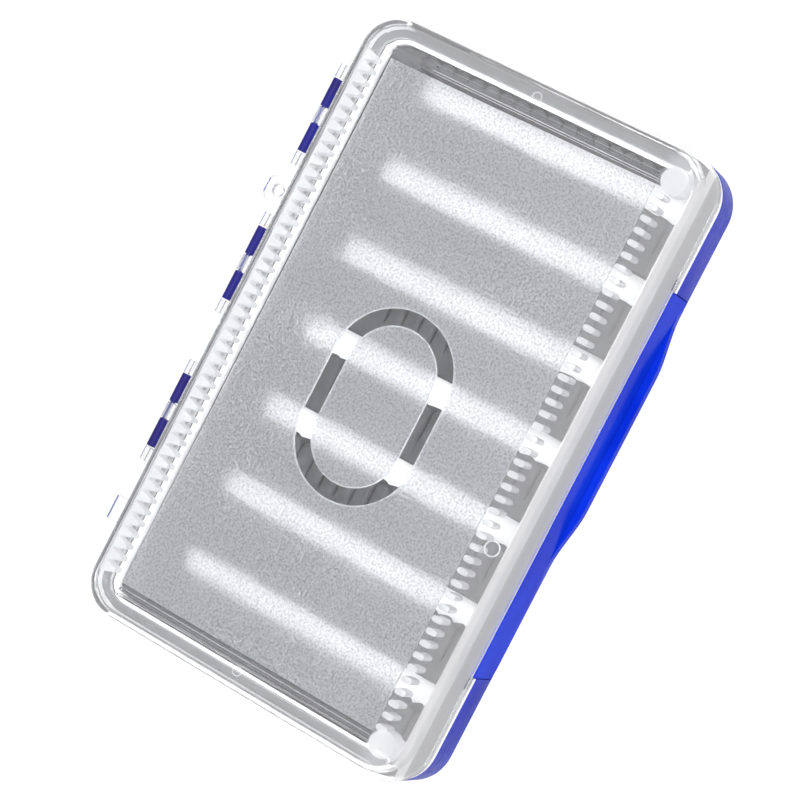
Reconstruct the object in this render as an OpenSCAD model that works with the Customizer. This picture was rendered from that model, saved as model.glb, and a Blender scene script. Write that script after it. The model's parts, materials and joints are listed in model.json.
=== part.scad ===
// Fly box: a blue tray-shaped base and a clear lid, hinged along the back and
// held shut by a full-length latch along the front. Inside, rows of slit foam
// lie in a white liner tray. Millimetres. X runs along the box, the latch
// faces -Y, the hinges face +Y, and the base stands on the plane z = 0.

/* [Case] */
// Length of the closed case, along X
case_l = 186; // [170:1:220]
// Width of the closed case, along Y, without latch and hinges
case_w = 111; // [100:1:140]
// Height of the base, from the table to the parting plane
base_h = 18; // [16:0.5:26]
// Height of the lid, from the parting plane to its top
lid_h = 9; // [9:0.5:16]
// Radius of the case's four upright corners
corner_r = 12; // [11:0.5:16]
// Gap between the rims of the closed base and lid
rim_gap = 0.2; // [0.1:0.05:0.3]

/* [Base] */
// Thickness of the base's outer wall
base_wall = 2.2; // [1.8:0.1:2.6]
// Thickness of the base's floor
floor_t = 2; // [1.4:0.1:2.6]
// Radius of the base's lower edge
bottom_r = 3; // [1.5:0.5:4]
// Inset of the groove that frames the base's underside
groove_inset = 9; // [7:0.5:11]
// Width of that groove
groove_w = 1.2; // [0.8:0.1:2]
// Depth of that groove
groove_d = 0.5; // [0.3:0.1:0.8]

/* [Liner tray] */
// Thickness of the tray's walls, flange and floor
tray_t = 1.2; // [0.9:0.1:1.5]
// Inset of the tray's outer wall face from the case's side
tray_inset = 5.2; // [4.8:0.1:6]
// Clearance round the tray inside the base
tray_gap = 0.3; // [0.2:0.05:0.4]
// Inset of the tray's rim, which covers the base's wall, from the case's side
tray_rim = 0.15; // [0.1:0.05:0.3]
// Thickness of the lip that stands round the seal on that rim
lip_t = 0.8; // [0.6:0.1:1.2]

/* [Seal] */
// Thickness of the flat seal
seal_t = 1.1; // [1:0.05:1.2]
// Clearance between the seal and the closed lid
seal_gap = 0.1; // [0.05:0.05:0.15]

/* [Foam rows] */
// Height of the foam above the tray's floor
foam_h = 12.3; // [5:0.1:12.5]
// White gap between two rows
row_gap = 8; // [6:0.25:9]
// Width of the narrow row at the +X end
first_row_w = 4; // [3:0.5:8]
// Width of the row at the -X end
last_row_w = 14.1; // [10:0.1:16]
// Width of the cross strip along the hinge side
spine_w = 9.8; // [5:0.1:12]
// Length of one lobe along a row's edge
lobe_pitch = 4.9; // [4:0.1:6]
// Length of the slit between two lobes
slit_l = 8; // [4:0.5:9]
// Width of that slit
slit_w = 0.4; // [0.3:0.1:0.8]
// Uncut foam left behind a slit
foam_back = 1.5; // [1:0.5:2]
// Clearance between the foam and the tray's walls
foam_gap = 0.3; // [0.1:0.1:0.5]

/* [Lid] */
// Thickness of the lid's wall
lid_wall = 1.8; // [1.4:0.1:2]
// Thickness of the lid's top
top_t = 1.6; // [1.2:0.1:2]
// Radius of the lid's upper edge
top_r = 2.4; // [2:0.1:3.4]
// Step from the lid's rim flange in to its wall
lid_step = 0.6; // [0.4:0.1:0.8]
// Lean of the lid's wall over its height
lid_draft = 0.5; // [0.2:0.1:0.8]
// Height of the lid's outer rim flange
flange_h = 3.7; // [3.7:0.1:4.5]
// Distance that the lid's upper part stands back on the latch side
front_step = 3.2; // [2:0.1:4]
// Thickness of the inner flange that presses on the seal
seal_flange_t = 1.4; // [1:0.1:1.8]
// Distance from the +X end of the case to the frosted panel
panel_start = 12.7; // [11:0.1:15]
// Distance from the -X end of the case to the frosted panel
panel_end = 11.3; // [10.5:0.1:15]
// Thickness of the frosted panel
panel_t = 0.6; // [0.4:0.1:1]
// Thickness of the two fine ribs across each end of the lid
end_rib_t = 0.7; // [0.5:0.1:1]
// Height of those ribs below the lid's top
end_rib_h = 1.6; // [1:0.1:2]
// Spacing of those ribs
end_rib_pitch = 1.7; // [1.4:0.1:2]

/* [Viewing band] */
// Overall length of the clear oval band in the frosted panel
band_l = 56; // [40:1:70]
// Overall width of that band
band_w = 36; // [28:1:44]
// Width of the clear stroke
band_t = 5; // [3:0.5:7]
// Distance of the band's middle from the middle of the case, towards -X
band_shift = 6; // [0:1:10]

/* [Toothed rails] */
// Distance from the case's back to the rear rail's spine
rail_inset = 3.3; // [3.2:0.1:4]
// Thickness of that spine
rail_spine = 0.8; // [0.6:0.1:1.2]
// Length of a tooth from the spine
tooth_l = 3.4; // [2.5:0.1:4]
// Spacing of the teeth, and of the front rail's ribs
tooth_pitch = 3.6; // [3:0.05:4.5]
// Width of a tooth at its root
tooth_root = 3; // [2.4:0.1:3]
// Width of a tooth at its tip
tooth_tip = 1.2; // [0.8:0.1:1.6]
// Distance from the rear teeth's tips to the frosted panel
rear_space = 3.8; // [2:0.1:5]
// Distance from the case's front to the front rail's ribs
rib_inset = 12.6; // [12:0.1:13]
// Length of a rib
rib_l = 3.3; // [2.6:0.1:4]
// Width of a rib
rib_w = 1.7; // [1.2:0.1:2.2]
// Height of the rear rail below the lid's top
rear_rail_h = 5.2; // [4:0.1:5.5]
// Height of the ribs and posts below the lid's top
front_rail_h = 7; // [5:0.1:7.2]
// Thickness of the strip that carries the ribs
strip_t = 0.6; // [0.4:0.1:1]
// Distance from the case's front to the middle of a post
post_front = 12; // [11.8:0.1:12.3]
// Radius of the posts at the front rail's ends
post_r = 3.8; // [3:0.1:3.8]
// Distance from each end of the case to the middle of a post
post_inset = 9.5; // [9:0.1:10]

/* [Hinge] */
// Distance of the hinge axis behind the case's back
axis_out = 3.6; // [3.6:0.1:5]
// Radius of the hinge knuckles
knuckle_r = 1.2; // [1.15:0.05:1.4]
// Radius of the hinge pins
hinge_pin_r = 0.7; // [0.6:0.05:0.75]
// Radial clearance of the lid's knuckles on the pins
hinge_play = 0.05; // [0.02:0.01:0.09]
// Length of a base knuckle
base_knuckle_l = 8.6; // [7:0.1:10]
// Length of the pin that shows between two base knuckles
pin_window_l = 5.4; // [5:0.1:8]
// Length of a clear lug at a hinge's end
lid_knuckle_l = 4; // [3:0.1:7]
// Gap between neighbouring knuckles
knuckle_gap = 0.3; // [0.2:0.05:0.5]
// Opening of the clip that snaps over the pin
clip_mouth = 1; // [0.8:0.05:1.1]
// Distance from the parting plane down to a base knuckle's root
lug_drop = 2.6; // [2.4:0.1:4]
// Height of that root on the back wall
lug_h = 4.5; // [3:0.5:6]
// Place along X of the first hinge
hinge_1_x = 58; // [56:0.5:60]
// Place along X of the second hinge
hinge_2_x = 11.8; // [8:0.1:12.2]
// Place along X of the third hinge
hinge_3_x = -34.5; // [-38:0.5:-30]

/* [Tabs] */
// Place along X of the lanyard eye
eye_x = 34.2; // [33.8:0.1:35.6]
// Half the width of the lanyard eye's tab
eye_r = 3.85; // [3.6:0.05:3.9]
// Radius of the tab's two corners
eye_corner_r = 2.4; // [1:0.1:3]
// Radius of the hole in it
eye_hole_r = 1.75; // [1.25:0.05:2]
// Distance of the hole behind the case's back
eye_out = 3; // [2.8:0.05:3]
// Thickness of the tabs
tab_t = 2; // [1.6:0.1:2]
// Place along X of the small stop tab
stop_x = -65.3; // [-70:0.1:-60]
// Length of that tab
stop_l = 7.1; // [5:0.1:9]
// Distance that it stands out
stop_out = 4; // [3:0.1:6.5]

/* [Latch] */
// Length of the latch
latch_l = 114.5; // [112:0.5:118]
// Place along X of the latch's middle
latch_x = 0.2; // [-3:0.1:3]
// Thickness of the latch's plate
latch_t = 1.3; // [1.1:0.05:1.5]
// Clearance behind and beside the closed latch
latch_gap = 0.3; // [0.25:0.05:0.4]
// Height of the latch's lower edge above the table
latch_low = 2.4; // [2:0.1:3.4]
// Radius of the latch's rolled upper edge
latch_roll_r = 0.8; // [0.75:0.05:0.85]
// Height of the latch's axis above the parting plane
latch_axis_z = 1.1; // [1.05:0.05:1.15]
// Radius of the latch's two pins
latch_pin_r = 0.4; // [0.3:0.05:0.4]
// Radial clearance of the latch on its pins
latch_play = 0.05; // [0.02:0.01:0.09]
// Length of each latch pin in the latch, and in the lid
pin_hold = 3.5; // [2.5:0.1:4]
// Radius of the latch's lower corners
latch_corner_r = 3; // [1:0.5:5]
// Thickness of wall left behind the latch
backing_t = 1.5; // [1.2:0.1:1.8]
// Middle of the thumb flare along X
flare_x = 15.5; // [10:0.5:16]
// Length of the thumb flare
flare_l = 76; // [50:1:76]
// Distance that the flare stands out
flare_out = 2.1; // [1.5:0.1:3]
// Length over which the flare swells at each end
flare_ramp = 18; // [10:1:24]
// Height of the lip that carries the flare
flare_h = 3.2; // [2.5:0.1:4]
// Height of the detent bead above the latch's lower edge
bead_z = 5; // [4:0.5:7]
// Distance that the bead stands in
bead_in = 0.2; // [0.1:0.05:0.25]

/* [Hidden] */
$fn = 64;
eps = 0.01;      // overlap that joins shapes of one solid
over = 1;        // overshoot of a cutting shape
rows = 8;        // foam rows, one node each

base_blue = [0.20, 0.25, 0.80];
latch_blue = [0.10, 0.22, 0.92];
pin_blue = [0.15, 0.14, 0.58];
liner_white = [0.95, 0.95, 0.93];
seal_grey = [0.60, 0.60, 0.60];
foam_grey = [0.30, 0.30, 0.32];
clear_tint = [0.86, 0.89, 0.92, 0.35];
frost_tint = [0.75, 0.75, 0.78, 0.6];

// The case is shifted along Y so that latch and hinges balance about y = 0
back_out = max(axis_out + knuckle_r, eye_out + eye_r);
front_out = flare_out;
case_y = (front_out - back_out) / 2;

// Heights
seat_z = base_h - (seal_t - (rim_gap - seal_gap)) - tray_t;
tray_floor_z = floor_t;
foam_z = tray_floor_z + tray_t;
lid_z = base_h;
lid_under = lid_h - top_t;
foot_z = rim_gap + seal_flange_t;   // foot of the lid's upper part

// Insets of the rim stack from the case's side
seal_out = tray_rim + lip_t + tray_gap;
seal_in = tray_inset - 0.2;
latch_bay_d = latch_t + latch_gap;
tray_in = tray_inset + tray_t;

// Foam rows, counted from the +X end
foam_half_l = case_l / 2 - tray_in - foam_gap;
foam_half_w = case_w / 2 - tray_in - foam_gap;
row_w = (2 * foam_half_l - first_row_w - last_row_w - (rows - 1) * row_gap) / (rows - 2);
function row_width(n) = n == 1 ? first_row_w : n == rows ? last_row_w : row_w;
function row_top(n) = n == 1 ? foam_half_l
    : foam_half_l - first_row_w - (n - 1) * row_gap - (n - 2) * row_w;

// The lid's upper part, the frosted panel and the rails
upper_w = case_w - front_step;
panel_x0 = -case_l / 2 + panel_end;
panel_x1 = case_l / 2 - panel_start;
panel_rear = rail_inset + rail_spine + tooth_l + rear_space;
panel_front = rib_inset + rib_l + foam_gap;
panel_y0 = -case_w / 2 + panel_front;
panel_w = case_w - panel_front - panel_rear;
teeth = floor((panel_x1 - panel_x0) / tooth_pitch);
rail_x0 = (panel_x0 + panel_x1 - teeth * tooth_pitch) / 2;

// Hinge stations, from the middle of each hinge outwards
lid_knuckle_x = pin_window_l / 2 + base_knuckle_l + knuckle_gap;
hinge_pin_l = pin_window_l + 2 * base_knuckle_l;

// Latch
latch_axis_in = latch_roll_r + 0.1;
latch_top = latch_axis_z + latch_roll_r + latch_gap;
latch_plate_h = base_h + latch_axis_z - latch_low;
latch_x0 = latch_x - latch_l / 2;
latch_x1 = latch_x + latch_l / 2;

// ---- shared shapes ----

// A rounded rectangle at an inset from the side of a case of width full_w
module case_outline(inset, full_w = case_w) {
    l = case_l - 2 * inset;
    w = full_w - 2 * inset;
    r = max(corner_r - inset, 0.5);
    square([l - 2 * r, w], center = true);
    square([l, w - 2 * r], center = true);
    for (sx = [-1, 1], sy = [-1, 1])
        translate([sx * (l / 2 - r), sy * (w / 2 - r)]) circle(r);
}

// A closed ring between two insets
module case_ring(outer, inner, h) {
    linear_extrude(h) difference() {
        case_outline(outer);
        case_outline(inner);
    }
}

// Sweeps a wall profile, drawn as inset and height, round a case of width w
module sweep_round(w) {
    for (q = [0:3]) {
        sx = (q == 0 || q == 3) ? 1 : -1;
        sy = q < 2 ? 1 : -1;
        translate([sx * (case_l / 2 - corner_r), sy * (w / 2 - corner_r), 0])
            rotate([0, 0, 90 * q]) rotate_extrude(angle = 90)
                translate([corner_r, 0]) mirror([1, 0]) children();
    }
    for (turn = [0, 180]) {
        rotate([0, 0, turn]) translate([corner_r - case_l / 2, -w / 2, 0])
            rotate([90, 0, 90]) linear_extrude(case_l - 2 * corner_r) children();
        rotate([0, 0, turn + 90]) translate([corner_r - w / 2, -case_l / 2, 0])
            rotate([90, 0, 90]) linear_extrude(w - 2 * corner_r) children();
    }
}

// The plate that fills the middle of a swept floor or top
module middle_plate(w, t) {
    translate([-case_l / 2 + corner_r, -w / 2 + corner_r, 0])
        cube([case_l - 2 * corner_r, w - 2 * corner_r, t]);
}

// Extrudes a Y-Z section along X, from x0 over a length
module along_x(x0, l) {
    translate([x0, 0, 0]) rotate([90, 0, 90]) linear_extrude(l) children();
}

// Every piece is drawn about the case's middle and placed here
module in_case(z = 0) {
    translate([0, case_y, z]) children();
}

// ---- base ----

module base_profile() {
    difference() {
        union() {
            polygon([[bottom_r, 0], [corner_r, 0], [corner_r, seat_z],
                [0, seat_z], [0, bottom_r]]);
            translate([bottom_r, bottom_r]) circle(bottom_r);
        }
        polygon([[base_wall, floor_t], [corner_r + over, floor_t],
            [corner_r + over, seat_z + over], [base_wall, seat_z + over]]);
    }
}

// One blue knuckle, its root on the back wall below the tray's rim
module base_knuckle(x) {
    difference() {
        along_x(x, base_knuckle_l) {
            translate([axis_out, 0]) circle(knuckle_r);
            polygon([[axis_out, -knuckle_r], [axis_out - knuckle_r, 0],
                [0, -lug_drop], [-base_wall / 2, -lug_drop],
                [-base_wall / 2, -lug_drop - lug_h], [0, -lug_drop - lug_h]]);
        }
        along_x(x - over, base_knuckle_l + 2 * over)
            translate([axis_out, 0]) circle(hinge_pin_r);
    }
}

module base_hinge(x) {
    translate([x, case_w / 2, base_h]) {
        base_knuckle(pin_window_l / 2);
        base_knuckle(-pin_window_l / 2 - base_knuckle_l);
    }
}

// The bay that takes the latch, with its detent groove
module latch_bay() {
    x0 = latch_x0 - latch_gap;
    l = latch_l + 2 * latch_gap;
    translate([x0, -case_w / 2 - over, latch_low - latch_gap])
        cube([l, latch_bay_d + over, base_h]);
    translate([x0, -case_w / 2 + latch_bay_d, latch_low + bead_z])
        rotate([0, 90, 0]) cylinder(r = bead_in + latch_gap, h = l);
}

module base_shell() {
    color(base_blue) in_case() difference() {
        union() {
            sweep_round(case_w) base_profile();
            middle_plate(case_w, floor_t);
            translate([latch_x0 - backing_t, -case_w / 2 + base_wall / 2, floor_t - eps])
                cube([latch_l + 2 * backing_t, latch_bay_d + backing_t - base_wall / 2,
                    seat_z - floor_t + eps]);
            base_hinge(hinge_1_x);
            base_hinge(hinge_2_x);
            base_hinge(hinge_3_x);
        }
        latch_bay();
        translate([0, 0, -eps])
            case_ring(groove_inset, groove_inset + groove_w, groove_d + eps);
    }
}

// The room that the tray's rim and the seal leave for the latch
module latch_notch() {
    translate([latch_x0 - tray_gap, -case_w / 2 - over, seat_z - over])
        cube([latch_l + 2 * tray_gap, latch_bay_d + tray_gap + over, base_h]);
}

// White liner: floor, wall, a rim that lies on the base's wall, and its lip
module inner_tray() {
    color(liner_white) in_case() difference() {
        union() {
            translate([0, 0, tray_floor_z])
                linear_extrude(seat_z + tray_t - tray_floor_z) case_outline(tray_inset);
            translate([0, 0, seat_z]) linear_extrude(tray_t) case_outline(tray_rim);
            translate([0, 0, seat_z]) case_ring(tray_rim, tray_rim + lip_t, base_h - seat_z);
        }
        translate([0, 0, foam_z]) linear_extrude(base_h) case_outline(tray_in);
        latch_notch();
    }
}

module rim_seal() {
    color(seal_grey) in_case() difference() {
        translate([0, 0, seat_z + tray_t]) case_ring(seal_out, seal_in, seal_t);
        latch_notch();
    }
}

// ---- foam ----

// One row along Y: straight on its -X edge, lobed and slit on its +X edge
module row_outline(n) {
    w = row_width(n);
    lobe_r = min(lobe_pitch / 2, w / 2);
    l = 2 * foam_half_w - spine_w;
    lobes = floor(l / lobe_pitch);
    step = l / lobes;
    cut = min(slit_l, w - lobe_r - foam_back);
    translate([row_top(n) - w, -foam_half_w]) difference() {
        union() {
            square([w - lobe_r + eps, l]);
            for (k = [0:lobes - 1])
                translate([w - lobe_r, (k + 0.5) * step]) intersection() {
                    circle(step / 2);
                    translate([-eps, -step]) square([lobe_r + eps, 2 * step]);
                }
        }
        if (cut > 0)
            for (k = [1:lobes - 1])
                translate([w - lobe_r - cut, k * step - slit_w / 2])
                    square([cut + lobe_r, slit_w]);
    }
}

// Foam is cut to the tray's inner corners
module cut_foam() {
    color(foam_grey) in_case(foam_z) linear_extrude(foam_h) intersection() {
        children();
        case_outline(tray_in + foam_gap);
    }
}

module foam_strip(n) {
    cut_foam() row_outline(n);
}

module foam_spine() {
    cut_foam() translate([-foam_half_l, foam_half_w - spine_w])
        square([2 * foam_half_l, spine_w]);
}

// ---- hinge pins ----

module hinge_pin(x) {
    color(pin_blue) in_case()
        translate([x - hinge_pin_l / 2, case_w / 2 + axis_out, base_h])
            rotate([0, 90, 0]) cylinder(r = hinge_pin_r, h = hinge_pin_l);
}

// ---- lid ----

// Wall and rounded top edge of the lid's upper part
module lid_profile() {
    wall_top = lid_step + lid_draft;
    difference() {
        union() {
            polygon([[lid_step, foot_z], [corner_r, foot_z], [corner_r, lid_h],
                [wall_top + top_r, lid_h], [wall_top, lid_h - top_r],
                [lid_step, flange_h]]);
            translate([wall_top + top_r, lid_h - top_r]) circle(top_r);
        }
        polygon([[lid_step + lid_wall, foot_z - over], [lid_step + lid_wall, foot_z],
            [wall_top + lid_wall, lid_under], [corner_r + over, lid_under],
            [corner_r + over, foot_z - over]]);
    }
}

// The upper part is narrower than the case and stands back from the latch
module on_upper_part() {
    translate([0, front_step / 2, 0]) children();
}

// The rim flange, with the inner flange that presses on the seal
module lid_flange() {
    difference() {
        translate([0, 0, rim_gap]) linear_extrude(flange_h - rim_gap) case_outline(0);
        linear_extrude(lid_h) case_outline(seal_in);
        translate([0, 0, foot_z]) on_upper_part()
            linear_extrude(lid_h) case_outline(lid_step + lid_wall, upper_w);
    }
}

// A clear lug, its root on the lid's back above the parting plane
module lid_lug(x, l) {
    along_x(x, l) {
        translate([axis_out, 0]) circle(knuckle_r);
        polygon([[axis_out, knuckle_r], [axis_out, knuckle_gap],
            [-lid_wall / 2, knuckle_gap], [-lid_wall / 2, flange_h],
            [0, flange_h]]);
    }
}

// Two end lugs that flank the base's knuckles, and a clip that snaps over the pin
module lid_hinge(x) {
    clip_l = pin_window_l - 2 * knuckle_gap;
    translate([x, case_w / 2, 0]) {
        lid_lug(lid_knuckle_x, lid_knuckle_l);
        lid_lug(-lid_knuckle_x - lid_knuckle_l, lid_knuckle_l);
        difference() {
            lid_lug(-clip_l / 2, clip_l);
            along_x(-clip_l, 2 * clip_l)
                translate([axis_out, 0]) circle(hinge_pin_r + hinge_play);
            translate([-clip_l, axis_out, -clip_mouth / 2])
                cube([2 * clip_l, knuckle_r + over, clip_mouth]);
        }
    }
}

// A tab with two rounded corners; its bore is cut with the lid's others
module lanyard_eye() {
    reach = eye_out + eye_r;
    corner_x = eye_r - eye_corner_r;
    translate([eye_x, case_w / 2, flange_h - tab_t]) linear_extrude(tab_t) {
        translate([-eye_r, -lid_wall / 2])
            square([2 * eye_r, reach - eye_corner_r + lid_wall / 2]);
        translate([-corner_x, 0]) square([2 * corner_x, reach]);
        for (s = [-1, 1])
            translate([s * corner_x, reach - eye_corner_r]) circle(eye_corner_r);
    }
}

module lid_pin_bore(x) {
    translate([x, -case_w / 2 + latch_axis_in, latch_axis_z])
        rotate([0, 90, 0]) cylinder(r = latch_pin_r, h = pin_hold + latch_gap);
}

// A fine rib across the lid's end, under its top
module end_rib(x) {
    translate([x - end_rib_t / 2, panel_y0, lid_under - end_rib_h])
        cube([end_rib_t, panel_w, end_rib_h + eps]);
}

module lid_shell() {
    color(clear_tint) in_case(lid_z) difference() {
        union() {
            lid_flange();
            on_upper_part() {
                sweep_round(upper_w) lid_profile();
                translate([0, 0, lid_under]) middle_plate(upper_w, top_t);
            }
            for (x = [hinge_1_x, hinge_2_x, hinge_3_x]) lid_hinge(x);
            lanyard_eye();
            translate([stop_x - stop_l / 2, case_w / 2 - lid_wall / 2, flange_h - tab_t])
                cube([stop_l, stop_out + lid_wall / 2, tab_t]);
            for (k = [1, 2]) {
                end_rib(panel_x0 - k * end_rib_pitch);
                end_rib(panel_x1 + k * end_rib_pitch);
            }
        }
        translate([latch_x0 - latch_gap, -case_w / 2 - over, -over])
            cube([latch_l + 2 * latch_gap,
                latch_axis_in + latch_roll_r + latch_gap + over, latch_top + over]);
        lid_pin_bore(latch_x1);
        lid_pin_bore(latch_x0 - pin_hold - latch_gap);
        translate([eye_x, case_w / 2 + eye_out, 0]) cylinder(r = eye_hole_r, h = lid_h);
    }
}

// An oval with straight sides, drawn about its middle
module oval(l, w) {
    square([l - w, w], center = true);
    for (s = [-1, 1]) translate([s * (l - w) / 2, 0]) circle(w / 2);
}

module window_panel() {
    color(frost_tint) in_case(lid_z + lid_under - panel_t) linear_extrude(panel_t)
        difference() {
            translate([panel_x0, panel_y0]) square([panel_x1 - panel_x0, panel_w]);
            translate([-band_shift, panel_y0 + panel_w / 2]) difference() {
                oval(band_l, band_w);
                oval(band_l - 2 * band_t, band_w - 2 * band_t);
            }
        }
}

// Comb outline: a straight spine and tapered teeth that point away from it
function tooth_points(k) = let (c = (k + 0.5) * tooth_pitch) [
    [c - tooth_root / 2, rail_spine], [c - tooth_tip / 2, rail_spine + tooth_l],
    [c + tooth_tip / 2, rail_spine + tooth_l], [c + tooth_root / 2, rail_spine]];

module rear_tooth_rail() {
    color(clear_tint) in_case(lid_z + lid_under - rear_rail_h) linear_extrude(rear_rail_h)
        translate([rail_x0, case_w / 2 - rail_inset]) mirror([0, 1]) polygon([
            [0, 0], [0, rail_spine],
            for (k = [0:teeth - 1]) each tooth_points(k),
            [teeth * tooth_pitch, rail_spine], [teeth * tooth_pitch, 0]]);
}

// A strip under the lid's top that carries a row of round-ended ribs, and a
// round post at each end
module front_tooth_rail() {
    post_x = case_l / 2 - post_inset;
    rib_r = rib_w / 2;
    color(clear_tint) in_case(lid_z + lid_under) mirror([0, 0, 1]) {
        translate([-post_x, -case_w / 2 + rib_inset, 0]) cube([2 * post_x, rib_l, strip_t]);
        linear_extrude(front_rail_h) for (k = [0:teeth - 1])
            translate([rail_x0 + (k + 0.5) * tooth_pitch, -case_w / 2 + rib_inset]) {
                translate([-rib_r, rib_r]) square([rib_w, rib_l - rib_w]);
                for (y = [rib_r, rib_l - rib_r]) translate([0, y]) circle(rib_r);
            }
        for (s = [-1, 1]) translate([s * post_x, -case_w / 2 + post_front, 0])
            cylinder(r = post_r, h = front_rail_h);
    }
}

// ---- latch ----

// Outline of the thumb flare in plan: a smooth swell along the lip
flare_steps = 40;
function smooth(t) = t * t * (3 - 2 * t);
function flare_y(x) = flare_out * smooth(min(1, min(x, flare_l - x) / flare_ramp));
module flare_outline() {
    polygon([[0, eps], for (k = [0:flare_steps])
        let (x = k / flare_steps * flare_l) [x, -flare_y(x)], [flare_l, eps]]);
}

module latch() {
    color(latch_blue) in_case() difference() {
        union() {
            translate([latch_x0, -case_w / 2 + latch_axis_in, lid_z + latch_axis_z])
                rotate([0, 90, 0]) cylinder(r = latch_roll_r, h = latch_l);
            translate([latch_x0, -case_w / 2 + latch_t, latch_low]) rotate([90, 0, 0])
                linear_extrude(latch_t) {
                    translate([latch_corner_r, 0])
                        square([latch_l - 2 * latch_corner_r, latch_plate_h]);
                    translate([0, latch_corner_r])
                        square([latch_l, latch_plate_h - latch_corner_r]);
                    for (x = [latch_corner_r, latch_l - latch_corner_r])
                        translate([x, latch_corner_r]) circle(latch_corner_r);
                }
            translate([flare_x - flare_l / 2, -case_w / 2, latch_low])
                linear_extrude(flare_h) flare_outline();
            translate([latch_x0 + latch_corner_r, -case_w / 2 + latch_t - bead_in,
                latch_low + bead_z])
                rotate([0, 90, 0]) cylinder(r = 2 * bead_in, h = latch_l - 2 * latch_corner_r);
        }
        for (x = [latch_x0 - over, latch_x1 - pin_hold])
            translate([x, -case_w / 2 + latch_axis_in, lid_z + latch_axis_z])
                rotate([0, 90, 0]) cylinder(r = latch_pin_r + latch_play, h = pin_hold + over);
    }
}

module latch_pin(x) {
    color(pin_blue) in_case()
        translate([x, -case_w / 2 + latch_axis_in, lid_z + latch_axis_z])
            rotate([0, 90, 0])
                cylinder(r = latch_pin_r, h = 2 * pin_hold);
}

base_shell();
inner_tray();
rim_seal();
foam_strip(1);  // foam_strip_1
foam_strip(2);  // foam_strip_2
foam_strip(3);  // foam_strip_3
foam_strip(4);  // foam_strip_4
foam_strip(5);  // foam_strip_5
foam_strip(6);  // foam_strip_6
foam_strip(7);  // foam_strip_7
foam_strip(8);  // foam_strip_8
foam_spine();
hinge_pin(hinge_1_x);  // hinge_pin_1
hinge_pin(hinge_2_x);  // hinge_pin_2
hinge_pin(hinge_3_x);  // hinge_pin_3
lid_shell();
window_panel();
rear_tooth_rail();
front_tooth_rail();
latch();
latch_pin(latch_x0 - pin_hold);  // latch_pin_left
latch_pin(latch_x1 - pin_hold);  // latch_pin_right
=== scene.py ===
"""The looks of a slim fly box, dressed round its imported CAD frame.

Blue base with a white liner and rows of slit foam, clear lid with a frosted
sheet, toothed rails and a full-length latch. Lengths are in metres, and MM
turns millimetres into them. +X runs along the box, -Y faces the latch.
"""

import json
import math

import bmesh
import bpy
from mathutils import Matrix, Vector, noise


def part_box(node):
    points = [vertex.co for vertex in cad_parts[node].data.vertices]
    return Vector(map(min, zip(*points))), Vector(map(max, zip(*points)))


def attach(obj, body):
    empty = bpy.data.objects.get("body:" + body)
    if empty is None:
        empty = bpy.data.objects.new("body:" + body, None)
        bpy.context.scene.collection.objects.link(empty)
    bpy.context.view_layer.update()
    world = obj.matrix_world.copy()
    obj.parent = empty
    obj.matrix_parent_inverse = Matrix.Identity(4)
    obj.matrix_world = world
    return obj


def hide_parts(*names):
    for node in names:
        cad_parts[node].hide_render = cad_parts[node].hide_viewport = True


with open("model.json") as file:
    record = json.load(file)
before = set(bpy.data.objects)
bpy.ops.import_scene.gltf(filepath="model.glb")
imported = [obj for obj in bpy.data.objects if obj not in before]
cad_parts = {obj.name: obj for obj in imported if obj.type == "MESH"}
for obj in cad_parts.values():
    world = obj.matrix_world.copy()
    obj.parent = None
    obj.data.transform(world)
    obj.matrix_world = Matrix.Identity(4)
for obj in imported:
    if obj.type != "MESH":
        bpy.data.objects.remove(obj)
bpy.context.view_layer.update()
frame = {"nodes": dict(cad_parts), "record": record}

MM = 0.001

# ---- camera, fitted to the photograph's outline, teeth, hinges and latch ----

CAMERA_PLACE = Vector((29.5, -238.8, 668.2)) * MM
CAMERA_AIM = Vector((-1.3, -3.5, 19.0)) * MM
CAMERA_ROLL = math.radians(-69.7)
CAMERA_LENS = 114.76
CAMERA_SENSOR = 36
CAMERA_NEAR = 10 * MM


def facing(place, aim):
    """The turn that points a camera or a light from its place to the aim."""
    return (Vector(aim) - Vector(place)).to_track_quat("-Z", "Y").to_matrix().to_4x4()


def add_camera():
    data = bpy.data.cameras.new("camera")
    data.lens = CAMERA_LENS
    data.sensor_width = CAMERA_SENSOR
    data.clip_start = CAMERA_NEAR
    camera = bpy.data.objects.new("camera", data)
    bpy.context.scene.collection.objects.link(camera)
    roll = Matrix.Rotation(CAMERA_ROLL, 4, "Z")
    camera.matrix_world = Matrix.Translation(CAMERA_PLACE) @ facing(CAMERA_PLACE, CAMERA_AIM) @ roll
    bpy.context.scene.camera = camera


# ---- sizes of the foam ----

FOAM_CORNER = 5.3 * MM      # radius of the foam at the tray's inner corners
LOBES = 18                  # lobes along each foam row
SLIT_W = 0.4 * MM           # width of the slit between two lobes
SLIT_L = 8 * MM             # depth of the slit behind a lobe
FOAM_BACK = 1.5 * MM        # uncut foam behind a slit
FOAM_EDGE = 0.9 * MM        # radius of the foam's upper edges
FOAM_CROWN = 0.25 * MM      # rise of each lobe's middle
FOAM_BULGE = 0.12 * MM      # how far the foam's sides swell
FOAM_WOBBLE = 0.1 * MM      # unevenness of the foam's top
WOBBLE_SCALE = 120          # grains of that unevenness in a metre
WOBBLE_FROM = 8 * MM        # height above which the foam is uneven
FOAM_MERGE = 0.004 * MM     # foam points closer than this are one
SIDE_NORMAL = 0.1           # least sideways part of a side's normal
TIP_EDGE = 0.4              # most of a lobe's tip radius that its edge takes
SLIT_ONSET = 4              # how fast a slit opens to its full width
BACK_CROWN = 0.3            # share of the crown that is left behind the slits
CROSS_STEPS = 120           # steps along the cross strip


# ---- materials ----


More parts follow.
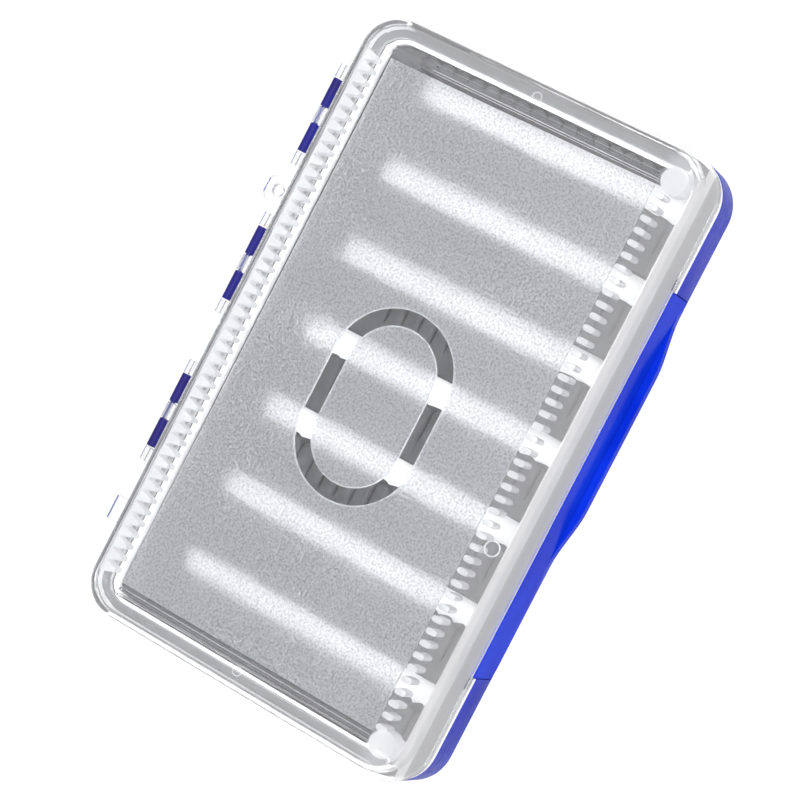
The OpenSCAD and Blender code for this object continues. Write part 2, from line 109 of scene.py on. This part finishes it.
class Finish:
    """A material's node tree, with short calls to add and join its nodes."""

    def __init__(self, name):
        self.material = bpy.data.materials.new(name)
        self.material.use_nodes = True
        self.tree = self.material.node_tree
        self.tree.nodes.clear()
        self.output = self.tree.nodes.new("ShaderNodeOutputMaterial")

    def add(self, kind, inputs=None, **settings):
        node = self.tree.nodes.new(kind)
        for name, value in settings.items():
            setattr(node, name, value)
        for name, value in (inputs or {}).items():
            socket = node.inputs[name]
            if isinstance(value, bpy.types.NodeSocket):
                self.tree.links.new(value, socket)
            else:
                socket.default_value = value
        return node

    def place(self):
        return self.add("ShaderNodeTexCoord").outputs["Object"]

    def grain(self, scale, detail=2.0, roughness=0.5):
        """Noise with grains of 1 / scale metres."""
        inputs = {"Vector": self.place(), "Scale": scale, "Detail": detail, "Roughness": roughness}
        return self.add("ShaderNodeTexNoise", inputs).outputs["Fac"]

    def spread(self, value, low, high, start=0.3, end=0.7):
        """The value, carried from start..end to low..high."""
        inputs = {"Value": value, "From Min": start, "From Max": end, "To Min": low, "To Max": high}
        return self.add("ShaderNodeMapRange", inputs).outputs["Result"]

    def shades(self, value, dark, light, start=0.3, end=0.7):
        """A colour between dark and light that follows the value."""
        ramp = self.add("ShaderNodeValToRGB", {"Fac": value})
        ramp.color_ramp.elements[0].position = start
        ramp.color_ramp.elements[0].color = dark
        ramp.color_ramp.elements[1].position = end
        ramp.color_ramp.elements[1].color = light
        return ramp.outputs["Color"]

    def bump(self, height, distance, strength=1.0, under=None):
        inputs = {"Height": height, "Distance": distance, "Strength": strength}
        if under is not None:
            inputs["Normal"] = under
        return self.add("ShaderNodeBump", inputs).outputs["Normal"]

    def plastic(self, **inputs):
        named = {name.replace("_", " "): value for name, value in inputs.items()}
        return self.add("ShaderNodeBsdfPrincipled", named).outputs["BSDF"]

    def maths(self, operation, first, second):
        node = self.add("ShaderNodeMath", {0: first, 1: second}, operation=operation)
        return node.outputs["Value"]

    def mix(self, factor, first, second):
        inputs = {0: factor, 1: first, 2: second}
        return self.add("ShaderNodeMixShader", inputs).outputs["Shader"]

    def milky(self, share, through, milk):
        """A see-through shader with a milky share, half of it lit from behind."""
        glow = self.add("ShaderNodeBsdfTranslucent", {"Color": milk}).outputs["BSDF"]
        chalk = self.add("ShaderNodeBsdfDiffuse", {"Color": milk}).outputs["BSDF"]
        return self.mix(share, through, self.mix(0.5, glow, chalk))

    def finish(self, shader):
        self.tree.links.new(shader, self.output.inputs["Surface"])
        return self.material


EDGE = 0.6 * MM                    # width over which a finish changes
BACK_Y = 53.3 * MM                 # just behind the base's back wall


def moulded_blue(name, dark, light, roughness, texture, shine, behind=None):
    """Moulded plastic with faint flow shading and a fine skin, and painted shade that darkens the
    knuckles behind the back wall.
    """
    finish = Finish(name)
    colour = finish.shades(finish.grain(60, 3), dark, light, 0.35, 0.65)
    if behind is not None:
        # painted shade: past BACK_Y the hinge knuckles get a darker copy of the same blue
        y = finish.add("ShaderNodeSeparateXYZ", {"Vector": finish.place()}).outputs["Y"]
        knuckle_painted_shade = finish.shades(finish.grain(60, 3), behind, dark, 0.35, 0.95)
        share = finish.spread(y, 0.0, 1.0, BACK_Y, BACK_Y + EDGE)
        inputs = {"Fac": share, "Color1": colour, "Color2": knuckle_painted_shade}
        colour = finish.add("ShaderNodeMixRGB", inputs).outputs["Color"]
    skin = finish.bump(finish.grain(2500, 2), texture)
    rough = finish.spread(finish.grain(400, 3), roughness - 0.05, roughness + 0.08)
    return finish.finish(finish.plastic(
        Base_Color=colour, Roughness=rough, IOR=1.49, Specular_IOR_Level=shine, Normal=skin))


def liner_white():
    finish = Finish("liner_white")
    colour = finish.shades(finish.grain(90, 3), (0.90, 0.90, 0.90, 1), (0.95, 0.95, 0.95, 1))
    skin = finish.bump(finish.grain(3000, 2), 0.01 * MM)
    rough = finish.spread(finish.grain(500, 2), 0.38, 0.52)
    return finish.finish(finish.plastic(
        Base_Color=colour, Roughness=rough, IOR=1.5, Normal=skin))


def seal_grey():
    finish = Finish("seal_grey")
    colour = finish.shades(finish.grain(700, 4), (0.060, 0.058, 0.060, 1), (0.10, 0.097, 0.10, 1))
    skin = finish.bump(finish.grain(5000, 2), 0.02 * MM)
    return finish.finish(finish.plastic(Base_Color=colour, Roughness=0.62, IOR=1.42, Normal=skin))


def foam_grey():
    """Closed-cell foam: fine cells, cut skin and slight unevenness."""
    finish = Finish("foam_grey")
    cells = finish.add("ShaderNodeTexVoronoi", {"Vector": finish.place(), "Scale": 2600.0})
    cell_height = finish.spread(cells.outputs["Distance"], 0.0, 1.0, 0.0, 0.6)
    shade = finish.shades(finish.grain(500, 4), (0.035, 0.035, 0.038, 1), (0.062, 0.062, 0.066, 1))
    broad = finish.bump(finish.grain(350, 3), 0.12 * MM)
    fine = finish.bump(cell_height, 0.05 * MM, 0.8, broad)
    return finish.finish(finish.plastic(Base_Color=shade, Roughness=0.85, IOR=1.4, Normal=fine))


WALL_Y = -51.9 * MM                # inner face of the lid's front wall
STEP_Y = -54.0 * MM                # outer face of that wall
RIM_Y = -57.6 * MM                 # outer edge of the lid's rim flange
PANEL_Y = (-41.7 * MM, 41.8 * MM)  # edges of the frosted sheet
PANEL_X = (-81.7 * MM, 80.3 * MM)
PAINTED_FRONT_HAZE = 0.15                 # milky share between the sheet and that wall, as painted light
PAINTED_END_HAZE = 0.05                   # milky share past the sheet's other edges, as painted light
WALL_FADE = 0.3 * MM               # width over which the wall's share fades
RIM_FADE = 0.2 * MM                # width over which the rim's share fades
RIM_SHARE = 0.1                    # part of the wall's share that the rim's edge keeps
MILK = (0.92, 0.92, 0.93, 1)       # colour of the milky share
# painted shade: the rim flange's darker milk
RIM_PAINTED_SHADE = (0.54, 0.54, 0.55, 1)
# painted light: the front wall's pale milk
WALL_PAINTED_HAZE = (0.82, 0.82, 0.83, 1)


def see_through(finish, shader, tint):
    """Lets lights through for shadow rays, so that what lies under the plastic is lit."""
    rays = finish.add("ShaderNodeLightPath")
    clear = finish.add("ShaderNodeBsdfTransparent", {"Color": tint}).outputs["BSDF"]
    return finish.mix(rays.outputs["Is Shadow Ray"], shader, clear)


def clear_plastic(name, tint, roughness, ripple, cloud, painted_wall_haze=None):
    """Clear plastic with flow ripples and a milky share.

    With a wall share, the share is larger round the frosted sheet, and most of
    all in the lid's front wall, as painted light; the rim flange's milk is darker, as painted shade.
    """
    finish = Finish(name)
    milk = MILK
    if painted_wall_haze is not None:
        axes = finish.add("ShaderNodeSeparateXYZ", {"Vector": finish.place()}).outputs
        y = axes["Y"]
        # painted light: a milky haze just past the frosted sheet's edges
        painted_edge_haze = finish.spread(y, PAINTED_FRONT_HAZE, 0.0, PANEL_Y[0] - EDGE, PANEL_Y[0])
        far_side = finish.spread(y, 0.0, PAINTED_END_HAZE, PANEL_Y[1], PANEL_Y[1] + EDGE)
        low_end = finish.spread(axes["X"], PAINTED_END_HAZE, 0.0, PANEL_X[0] - EDGE, PANEL_X[0])
        high_end = finish.spread(axes["X"], 0.0, PAINTED_END_HAZE, PANEL_X[1], PANEL_X[1] + EDGE)
        for side in (far_side, low_end, high_end):
            painted_edge_haze = finish.maths("MAXIMUM", painted_edge_haze, side)
        # painted light: a strong milky haze in the front wall, kept thin at the rim's outer edge
        wall = finish.spread(y, painted_wall_haze, 0.0, WALL_Y, WALL_Y + WALL_FADE)
        rim = finish.spread(y, RIM_SHARE, 1.0, RIM_Y, RIM_Y + RIM_FADE)
        painted_wall_mask = finish.maths("MULTIPLY", wall, rim)
        cloud = finish.maths("MAXIMUM", finish.maths("ADD", painted_edge_haze, cloud), painted_wall_mask)
        # painted shade: darker milk on the rim flange, paler milk in the wall
        inner = finish.spread(y, 0.0, 1.0, STEP_Y - WALL_FADE, STEP_Y)
        milk = finish.shades(inner, RIM_PAINTED_SHADE, WALL_PAINTED_HAZE, 0.0, 1.0)
    waves = finish.bump(finish.grain(180, 2), ripple)
    rough = finish.spread(finish.grain(900, 3), roughness, roughness + 0.03)
    through = finish.plastic(
        Base_Color=tint, Roughness=rough, IOR=1.49, Transmission_Weight=1.0, Normal=waves)
    return finish.finish(see_through(finish, finish.milky(cloud, through, milk), tint))


def frosted_sheet():
    """Pebbled clear sheet: it blurs what lies under it, and its milky share is speckled light and dark
    as painted sparkle and shade of the pebbles.
    """
    finish = Finish("frosted")
    pebbles = finish.grain(1700, 2.0, 0.6)
    skin = finish.bump(pebbles, 0.02 * MM)
    through = finish.plastic(
        Base_Color=(0.97, 0.97, 0.98, 1), Roughness=0.3, IOR=1.49, Transmission_Weight=1.0,
        Normal=skin)
    # painted sparkle and shade: bright and dark specks in the milk, and a milky share that varies from
    # grain to grain
    milk = finish.shades(
        finish.grain(1500, 2), (0.22, 0.22, 0.25, 1), (1.0, 1.0, 1.0, 1), 0.43, 0.57)
    cloud = finish.spread(finish.grain(1700, 2), 0.12, 0.40, 0.43, 0.57)
    shader = finish.milky(cloud, through, milk)
    return finish.finish(see_through(finish, shader, (0.9, 0.9, 0.92, 1)))


def make_finishes():
    return {
        "base_blue": moulded_blue(
            "base_blue", (0.022, 0.032, 0.36, 1), (0.034, 0.046, 0.44, 1),
            # the behind colour is painted shade for the hinge knuckles
            roughness=0.34, texture=0.010 * MM, shine=0.04, behind=(0.030, 0.022, 0.115, 1)),
        "latch_blue": moulded_blue(
            "latch_blue", (0.002, 0.022, 0.50, 1), (0.004, 0.034, 0.60, 1),
            roughness=0.18, texture=0.004 * MM, shine=0.01),
        "pin_blue": moulded_blue(
            "pin_blue", (0.008, 0.010, 0.12, 1), (0.014, 0.018, 0.18, 1),
            roughness=0.22, texture=0.006 * MM, shine=0.3),
        "liner_white": liner_white(),
        "seal_grey": seal_grey(),
        "foam_grey": foam_grey(),
        "clear": clear_plastic(
            "clear", (0.97, 0.975, 0.98, 1),
            # the wall share of 0.8 is painted light
            roughness=0.0, ripple=0.01 * MM, cloud=0.03, painted_wall_haze=0.8),
        "clear_teeth": clear_plastic(
            "clear_teeth", (0.97, 0.97, 0.98, 1), roughness=0.08, ripple=0.03 * MM, cloud=0.42),
        "frosted": frosted_sheet(),
    }


# ---- meshes ----


def mesh_object(name, mesh_data):
    piece = bpy.data.objects.new(name, mesh_data)
    bpy.context.scene.collection.objects.link(piece)
    return piece


def mesh_from(name, shape):
    """The finished shape as a mesh."""
    data = bpy.data.meshes.new(name)
    shape.to_mesh(data)
    shape.free()
    return data


def rounded_fall(distance, radius):
    """How far a rounded edge has dropped at this distance in from the side."""
    if distance >= radius:
        return 0.0
    share = 1 - max(distance, 0.0) / radius
    return radius * (1 - math.sqrt(1 - share * share))


def smooth(value):
    value = min(1.0, max(0.0, value))
    return value * value * (3 - 2 * value)


def into_tray(x, y, middle_y, half_l, half_w):
    """Pulls a point of the foam inside the tray's rounded corners."""
    corner_x = half_l - FOAM_CORNER
    corner_y = half_w - FOAM_CORNER
    out_x = abs(x) - corner_x
    out_y = abs(y - middle_y) - corner_y
    reach = math.hypot(out_x, out_y)
    if out_x <= 0 or out_y <= 0 or reach <= FOAM_CORNER:
        return x, y
    scale = FOAM_CORNER / reach
    new_x = math.copysign(corner_x + out_x * scale, x)
    new_y = middle_y + math.copysign(corner_y + out_y * scale, y - middle_y)
    return new_x, new_y


EDGE_STEPS = (0.0, 0.1, 0.35, 0.7, 1.0)             # shares of a rounded edge's radius
MIDDLE_STEPS = [-0.3, 0.0, 0.3]                     # places across a lobe's middle
SLIT_STEPS = (0.06, 0.14, 0.25, 0.45, 0.7, 1.0)     # shares of the way along a slit
TIP_ANGLES = tuple(math.radians(a) for a in (12, 24, 36, 48, 58, 67, 75, 82, 87, 90))


def across_shares(half_width, radius):
    """Places across a lobe, dense at its rounded sides, from -1 to 1."""
    side = [1 - share * radius / half_width for share in EDGE_STEPS]
    return [-value for value in side] + MIDDLE_STEPS + side[::-1]


def lobe_stations(depth, slit_start, tip_r):
    """Stations along a lobe: (place along X, half the width as a share, slit strength)."""
    edge = [share * FOAM_EDGE for share in EDGE_STEPS]
    stations = [(place, 1.0, 0.0) for place in edge if place < slit_start]
    stations.append((slit_start, 1.0, 0.0))
    tip_x = depth - tip_r
    for share in SLIT_STEPS:
        along = slit_start + share * (tip_x - slit_start)
        stations.append((along, 1.0, smooth(share * SLIT_ONSET)))
    for angle in TIP_ANGLES:
        stations.append((tip_x + tip_r * math.sin(angle), math.cos(angle), 1.0))
    return stations


def close_below(shape, floor_z, bulge):
    """Gives a top sheet its walls, with slightly swollen sides, and its floor."""
    rim = [edge for edge in shape.edges if edge.is_boundary]
    for level in (0.5, 0.0):
        new = bmesh.ops.extrude_edge_only(shape, edges=rim)["geom"]
        corners = [item for item in new if isinstance(item, bmesh.types.BMVert)]
        rim = [item for item in new if isinstance(item, bmesh.types.BMEdge)
               and all(vert in set(corners) for vert in item.verts)]
        for vert in corners:
            vert.co.z = floor_z + level * (vert.co.z - floor_z)
        if level:
            shape.normal_update()
            for vert in corners:
                out = Vector((vert.normal.x, vert.normal.y, 0))
                if out.length > SIDE_NORMAL:
                    vert.co += out.normalized() * bulge
    bmesh.ops.edgeloop_fill(shape, edges=rim)


def finish_foam(name, shape, nodes, seed_shift):
    """Turns the shape into a foam piece that stands for its CAD node."""
    bmesh.ops.recalc_face_normals(shape, faces=shape.faces)
    shift = Vector((seed_shift, 0, 0))
    for vert in shape.verts:
        if vert.co.z > WOBBLE_FROM:
            vert.co.z -= abs(noise.noise(vert.co * WOBBLE_SCALE + shift)) * FOAM_WOBBLE
    bmesh.ops.triangulate(shape, faces=[face for face in shape.faces if len(face.verts) > 4])
    data = mesh_from(name, shape)
    data.shade_smooth()
    data.set_sharp_from_angle(angle=math.radians(60))
    piece = mesh_object(name, data)
    piece.data.materials.append(FINISHES["foam_grey"])
    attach(piece, "base")
    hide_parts(nodes)


def foam_row(index, middle_y, half_l, half_w):
    """A row of slit foam whose lobes face +X."""
    node = f"foam_strip_{index}"
    low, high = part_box(node)
    low_y = middle_y - half_w
    high_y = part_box("foam_spine")[0].y
    depth = high.x - low.x
    step = (high_y - low_y) / LOBES
    half = step / 2 - SLIT_W / 2
    tip_r = min(half, depth / 2)
    lobe_r = min(step / 2, depth / 2)
    cut = min(SLIT_L, depth - lobe_r - FOAM_BACK)
    slit_start = depth - lobe_r - cut
    edge = min(FOAM_EDGE, TIP_EDGE * tip_r)
    shares = across_shares(half, edge)
    stations = lobe_stations(depth, slit_start, tip_r)
    top_z = high.z - FOAM_CROWN
    shape = bmesh.new()
    for lobe in range(LOBES):
        centre = low_y + (lobe + 0.5) * step
        rows = []
        for along, width_share, strength in stations:
            beside = step / 2 - SLIT_W / 2 * min(1.0, strength * SLIT_ONSET)
            verts = []
            for share in shares:
                y_local = share * beside * width_share
                to_slit = beside * width_share - abs(y_local)
                if width_share < 1:
                    to_slit = half - math.hypot(along - (depth - tip_r), y_local)
                drop = max(rounded_fall(along, edge), rounded_fall(to_slit, edge) * strength)
                outer_side = (lobe == 0 and share < 0) or (lobe == LOBES - 1 and share > 0)
                if outer_side:
                    drop = max(drop, rounded_fall(beside * width_share - abs(y_local), edge))
                crown = FOAM_CROWN * (1 - share * share) * max(strength, BACK_CROWN)
                x, y = into_tray(low.x + along, centre + y_local, middle_y, half_l, half_w)
                verts.append(shape.verts.new((x, y, top_z - drop + crown)))
            rows.append(verts)
        for first, second in zip(rows, rows[1:]):
            for j in range(len(shares) - 1):
                shape.faces.new((first[j], second[j], second[j + 1], first[j + 1]))
    bmesh.ops.remove_doubles(shape, verts=shape.verts, dist=FOAM_MERGE)
    close_below(shape, low.z, FOAM_BULGE)
    finish_foam(f"foam_row_{index}", shape, node, index)


def foam_cross_strip(middle_y, half_l, half_w):
    """The strip that runs along the hinge side, past the ends of the rows."""
    low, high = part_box("foam_spine")
    length = high.x - low.x
    width = high.y - low.y
    ends = [share * FOAM_EDGE for share in EDGE_STEPS]
    between = length - 2 * FOAM_EDGE
    along_all = ends + [FOAM_EDGE + k / CROSS_STEPS * between for k in range(1, CROSS_STEPS)]
    along_all += [length - value for value in ends[::-1]]
    across_all = ends + [0.25 * width, 0.5 * width, 0.75 * width]
    across_all += [width - value for value in ends[::-1]]
    shape = bmesh.new()
    rows = []
    for along in along_all:
        verts = []
        for across in across_all:
            inward = min(along, length - along, across, width - across)
            crown = FOAM_CROWN * (1 - (2 * across / width - 1) ** 2)
            x, y = into_tray(low.x + along, low.y + across, middle_y, half_l, half_w)
            z = high.z - FOAM_CROWN + crown - rounded_fall(inward, FOAM_EDGE)
            verts.append(shape.verts.new((x, y, z)))
        rows.append(verts)
    for first, second in zip(rows, rows[1:]):
        for j in range(len(across_all) - 1):
            shape.faces.new((first[j], second[j], second[j + 1], first[j + 1]))
    bmesh.ops.remove_doubles(shape, verts=shape.verts, dist=FOAM_MERGE)
    close_below(shape, low.z, FOAM_BULGE)
    finish_foam("foam_cross_strip", shape, "foam_spine", 20)


def add_foam():
    """Every soft foam solid gets its fuller form."""
    spine_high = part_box("foam_spine")[1]
    row_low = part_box("foam_strip_2")[0]
    half_l = spine_high.x
    half_w = (spine_high.y - row_low.y) / 2
    middle_y = (spine_high.y + row_low.y) / 2
    rows = [name for name in frame["nodes"] if name.startswith("foam_strip_")]
    for index in range(1, len(rows) + 1):
        foam_row(index, middle_y, half_l, half_w)
    foam_cross_strip(middle_y, half_l, half_w)


# ---- hard pieces that keep their CAD shape ----


def dress_nodes():
    """Gives every CAD node that stays the finish that the record names for it."""
    for entry in frame["record"]["subparts"]:
        node = frame["nodes"][entry["node"]]
        node.data.materials.clear()
        node.data.materials.append(FINISHES[entry["material_slot"]])


SEAT_GAP = 0.06 * MM        # keeps clear faces that touch apart, so that light passes both
COPY_MERGE = 0.002 * MM     # points of a copy closer than this are one
FLAT = math.radians(0.5)    # faces that turn less than this are one flat face
CREASE = math.radians(35)   # edges that turn more than this are rounded


def merged_copy(node, material_slot, body, bevel, drop=0.0):
    """A merged, smooth copy of a hard piece with softly rounded edges."""
    source = frame["nodes"][node]
    shape = bmesh.new()
    shape.from_mesh(source.data)
    lower = Matrix.Translation((0, 0, -drop))
    bmesh.ops.transform(shape, matrix=lower @ source.matrix_world, verts=shape.verts)
    bmesh.ops.remove_doubles(shape, verts=shape.verts, dist=COPY_MERGE)
    bmesh.ops.dissolve_limit(shape, angle_limit=FLAT, verts=shape.verts, edges=shape.edges)
    bmesh.ops.recalc_face_normals(shape, faces=shape.faces)
    data = mesh_from(node + "_soft", shape)
    piece = mesh_object(node + "_soft", data)
    rounding = piece.modifiers.new("rounding", "BEVEL")
    rounding.width = bevel
    rounding.segments = 2
    rounding.limit_method = "ANGLE"
    rounding.angle_limit = CREASE
    rounding.use_clamp_overlap = True
    data.shade_smooth()
    data.set_sharp_from_angle(angle=math.radians(40))
    data.materials.append(FINISHES[material_slot])
    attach(piece, body)
    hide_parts(node)


# ---- the ribs and posts along the front edge ----

RIB_PITCH = 3.6 * MM
RIB_L = 3.3 * MM
RIB_W = 1.7 * MM
RIB_EDGE = 0.35 * MM        # rounding of a rib's and a post's lower edge
POST_R = 3.8 * MM
POST_SIDES = 40
RIB_SIDES = 12              # steps round each end of a rib
COUNT_SLACK = 0.001         # keeps a whole number of ribs whole


def add_round_prism(shape, outline, middle, low_z, high_z):
    """A prism on the outline, its lower edge rounded towards the middle."""
    levels = [(0.0, high_z), (0.0, low_z + RIB_EDGE)]
    for degrees in (30, 60, 90):
        angle = math.radians(degrees)
        levels.append((RIB_EDGE * (1 - math.cos(angle)), low_z + RIB_EDGE * (1 - math.sin(angle))))
    rings = []
    for inset, z in levels:
        ring = []
        for x, y in outline:
            out = Vector((x, y, 0)) - middle
            out -= out.normalized() * inset
            ring.append(shape.verts.new(Vector((middle.x + out.x, middle.y + out.y, z))))
        rings.append(ring)
    for first, second in zip(rings, rings[1:]):
        for j in range(len(outline)):
            beside = (j + 1) % len(outline)
            shape.faces.new((first[j], second[j], second[beside], first[beside]))
    shape.faces.new(rings[0])
    shape.faces.new(rings[-1])


def rib_tree(material):
    """Sets copies of one rib along a line, a pitch apart."""
    tree = bpy.data.node_groups.new("rib_row", "GeometryNodeTree")
    sockets = tree.interface
    sockets.new_socket(name="Geometry", in_out="INPUT", socket_type="NodeSocketGeometry")
    count = sockets.new_socket(name="Ribs", in_out="INPUT", socket_type="NodeSocketInt")
    offset = sockets.new_socket(name="Pitch", in_out="INPUT", socket_type="NodeSocketVector")
    sockets.new_socket(name="Geometry", in_out="OUTPUT", socket_type="NodeSocketGeometry")
    begin = tree.nodes.new("NodeGroupInput")
    line = tree.nodes.new("GeometryNodeMeshLine")
    copies = tree.nodes.new("GeometryNodeInstanceOnPoints")
    real = tree.nodes.new("GeometryNodeRealizeInstances")
    dress = tree.nodes.new("GeometryNodeSetMaterial")
    end = tree.nodes.new("NodeGroupOutput")
    dress.inputs["Material"].default_value = material
    tree.links.new(begin.outputs["Ribs"], line.inputs["Count"])
    tree.links.new(begin.outputs["Pitch"], line.inputs["Offset"])
    tree.links.new(line.outputs["Mesh"], copies.inputs["Points"])
    tree.links.new(begin.outputs["Geometry"], copies.inputs["Instance"])
    tree.links.new(copies.outputs["Instances"], real.inputs["Geometry"])
    tree.links.new(real.outputs["Geometry"], dress.inputs["Geometry"])
    tree.links.new(dress.outputs["Geometry"], end.inputs["Geometry"])
    return tree, count.identifier, offset.identifier


def rib_outline(x, y0, y1):
    """A slot shape along Y: straight sides and round ends."""
    radius = RIB_W / 2
    points = []
    for k in range(2 * RIB_SIDES):
        angle = math.pi * (k + 0.5) / RIB_SIDES
        side = y1 - radius if math.sin(angle) > 0 else y0 + radius
        points.append((x + radius * math.cos(angle), side + radius * math.sin(angle)))
    return points


def add_front_ribs():
    """The row of ribs, with a post at each end, that stands for the front rail."""
    low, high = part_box("front_tooth_rail")
    panel_low, panel_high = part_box("window_panel")
    ribs = math.floor((panel_high.x - panel_low.x) / RIB_PITCH + COUNT_SLACK)
    first_x = (panel_low.x + panel_high.x - (ribs - 1) * RIB_PITCH) / 2
    y0 = high.y - RIB_L
    high_z = high.z - SEAT_GAP
    shape = bmesh.new()
    middle = Vector((first_x, (y0 + high.y) / 2, 0))
    add_round_prism(shape, rib_outline(first_x, y0, high.y), middle, low.z, high_z)
    rib = mesh_object("rib", mesh_from("rib", shape))
    tree, count, offset = rib_tree(FINISHES["clear_teeth"])
    row = rib.modifiers.new("row", "NODES")
    row.node_group = tree
    row[count] = ribs
    row[offset] = (RIB_PITCH, 0, 0)
    bpy.context.view_layer.update()
    ready = rib.evaluated_get(bpy.context.evaluated_depsgraph_get())
    made = bpy.data.meshes.new_from_object(ready)
    bpy.data.objects.remove(rib)
    shape = bmesh.new()
    shape.from_mesh(made)
    for post_x in (low.x + POST_R, high.x - POST_R):
        post = Vector((post_x, low.y + POST_R, 0))
        steps = [2 * math.pi * k / POST_SIDES for k in range(POST_SIDES)]
        circle = [(post.x + POST_R * math.cos(a), post.y + POST_R * math.sin(a)) for a in steps]
        add_round_prism(shape, circle, post, low.z, high_z)
    bmesh.ops.recalc_face_normals(shape, faces=shape.faces)
    data = mesh_from("front_ribs", shape)
    data.shade_smooth()
    data.set_sharp_from_angle(angle=math.radians(50))
    data.materials.append(FINISHES["clear_teeth"])
    piece = mesh_object("front_ribs", data)
    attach(piece, "lid")
    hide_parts("front_tooth_rail")


# ---- fine clear beads: moulding rings and the edges of the clear band ----

BEAD_SIDES = 10
OVAL_STEPS = 48
END_RINGS = ((87.7 * MM, -1.5 * MM), (-86.3 * MM, -0.5 * MM))
END_RING_R = 1.3 * MM
END_BEAD_R = 0.14 * MM
FRONT_RING = (-24.0 * MM, -47.9 * MM)
FRONT_RING_R = 2.1 * MM
FRONT_BEAD_R = 0.22 * MM
FRONT_BEAD_DROP = 0.3 * MM  # depth of the front ring below the lid's top sheet
BAND_STRAIGHT = 20 * MM     # straight part of the clear oval band
BAND_OUTER_R = 18 * MM
BAND_INNER_R = 13 * MM
BAND_SHIFT = -6 * MM
BAND_BEAD_R = 0.2 * MM


def oval_points(centre, straight, radius):
    """Points round an oval with straight sides along X."""
    points = []
    for k in range(OVAL_STEPS):
        angle = 2 * math.pi * (k + 0.5) / OVAL_STEPS
        side = math.copysign(straight / 2, math.cos(angle))
        x = side + radius * math.cos(angle)
        points.append(centre + Vector((x, radius * math.sin(angle), 0)))
    return points


def add_bead(name, points, radius):
    """A thin closed bead of clear plastic along the points."""
    shape = bmesh.new()
    rings = []
    for k, point in enumerate(points):
        ahead = points[(k + 1) % len(points)] - points[k - 1]
        out = Vector((ahead.y, -ahead.x, 0)).normalized()
        ring = []
        for j in range(BEAD_SIDES):
            angle = 2 * math.pi * j / BEAD_SIDES
            offset = out * math.cos(angle) + Vector((0, 0, math.sin(angle)))
            ring.append(shape.verts.new(point + offset * radius))
        rings.append(ring)
    for k, ring in enumerate(rings):
        following = rings[(k + 1) % len(rings)]
        for j in range(BEAD_SIDES):
            beside = (j + 1) % BEAD_SIDES
            shape.faces.new((ring[j], ring[beside], following[beside], following[j]))
    bmesh.ops.recalc_face_normals(shape, faces=shape.faces)
    data = mesh_from(name, shape)
    data.shade_smooth()
    data.materials.append(FINISHES["clear_teeth"])
    piece = mesh_object(name, data)
    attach(piece, "lid")


def add_beads():
    """Moulding rings on the lid, and a bead along each edge of the clear band."""
    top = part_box("lid_shell")[1].z
    low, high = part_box("window_panel")
    for k, (x, y) in enumerate(END_RINGS, 1):
        add_bead(f"end_ring_{k}", oval_points(Vector((x, y, top)), 0, END_RING_R), END_BEAD_R)
    front = Vector((*FRONT_RING, high.z - FRONT_BEAD_DROP))
    add_bead("front_ring", oval_points(front, 0, FRONT_RING_R), FRONT_BEAD_R)
    middle = Vector((BAND_SHIFT, (low.y + high.y) / 2, low.z - BAND_BEAD_R))
    for name, radius in (("band_edge_outer", BAND_OUTER_R), ("band_edge_inner", BAND_INNER_R)):
        add_bead(name, oval_points(middle, BAND_STRAIGHT, radius), BAND_BEAD_R)


# ---- floor, light and backdrop ----

FLOOR_R = 2.5
FLOOR_DROP = 0.05 * MM      # keeps the floor just below the box's underside
FLOOR_GLOW = 1.25
GLOW_SHARE = 0.85
WORLD_STRENGTH = 0.6
LIGHT_PLACE = (0.1, -0.5, 1.2)
LIGHT_SIZE = 0.5
LIGHT_POWER = 14


def add_floor():
    finish = Finish("floor")
    tone = finish.shades(finish.grain(30, 2), (0.86, 0.86, 0.86, 1), (0.90, 0.90, 0.90, 1))
    paper = finish.add("ShaderNodeBsdfDiffuse", {"Color": tone}).outputs["BSDF"]
    glow = finish.add("ShaderNodeEmission", {"Color": tone, "Strength": FLOOR_GLOW}).outputs["Emission"]
    shader = finish.mix(GLOW_SHARE, paper, glow)
    floor = bmesh.new()
    bmesh.ops.create_circle(floor, cap_ends=True, segments=96, radius=FLOOR_R)
    data = mesh_from("floor", floor)
    data.transform(Matrix.Translation((0, 0, -FLOOR_DROP)))
    piece = mesh_object("floor", data)
    data.materials.append(finish.finish(shader))


def add_light():
    """One soft round light on the camera's side."""
    data = bpy.data.lights.new("front_soft", "AREA")
    data.shape = "DISK"
    data.size = LIGHT_SIZE
    data.energy = LIGHT_POWER
    light = bpy.data.objects.new("front_soft", data)
    bpy.context.scene.collection.objects.link(light)
    light.matrix_world = Matrix.Translation(LIGHT_PLACE) @ facing(LIGHT_PLACE, (0, 0, 0))


def add_world():
    world = bpy.data.worlds.new("studio")
    bpy.context.scene.world = world
    world.use_nodes = True
    tree = world.node_tree
    tree.nodes.clear()
    output = tree.nodes.new("ShaderNodeOutputWorld")
    background = tree.nodes.new("ShaderNodeBackground")
    background.inputs["Color"].default_value = (1, 1, 1, 1)
    background.inputs["Strength"].default_value = WORLD_STRENGTH
    tree.links.new(background.outputs["Background"], output.inputs["Surface"])


def add_studio():
    bpy.context.scene.view_settings.view_transform = "Standard"
    add_world()
    add_floor()
    add_light()


FINISHES = make_finishes()
add_camera()
dress_nodes()
add_foam()
merged_copy("lid_shell", "clear", "lid", 0.12 * MM)
merged_copy("base_shell", "base_blue", "base", 0.2 * MM)
merged_copy("latch", "latch_blue", "latch", 0.2 * MM)
merged_copy("window_panel", "frosted", "lid", 0.05 * MM, SEAT_GAP)
merged_copy("rear_tooth_rail", "clear_teeth", "lid", 0.3 * MM, SEAT_GAP)
add_front_ribs()
add_beads()
add_studio()
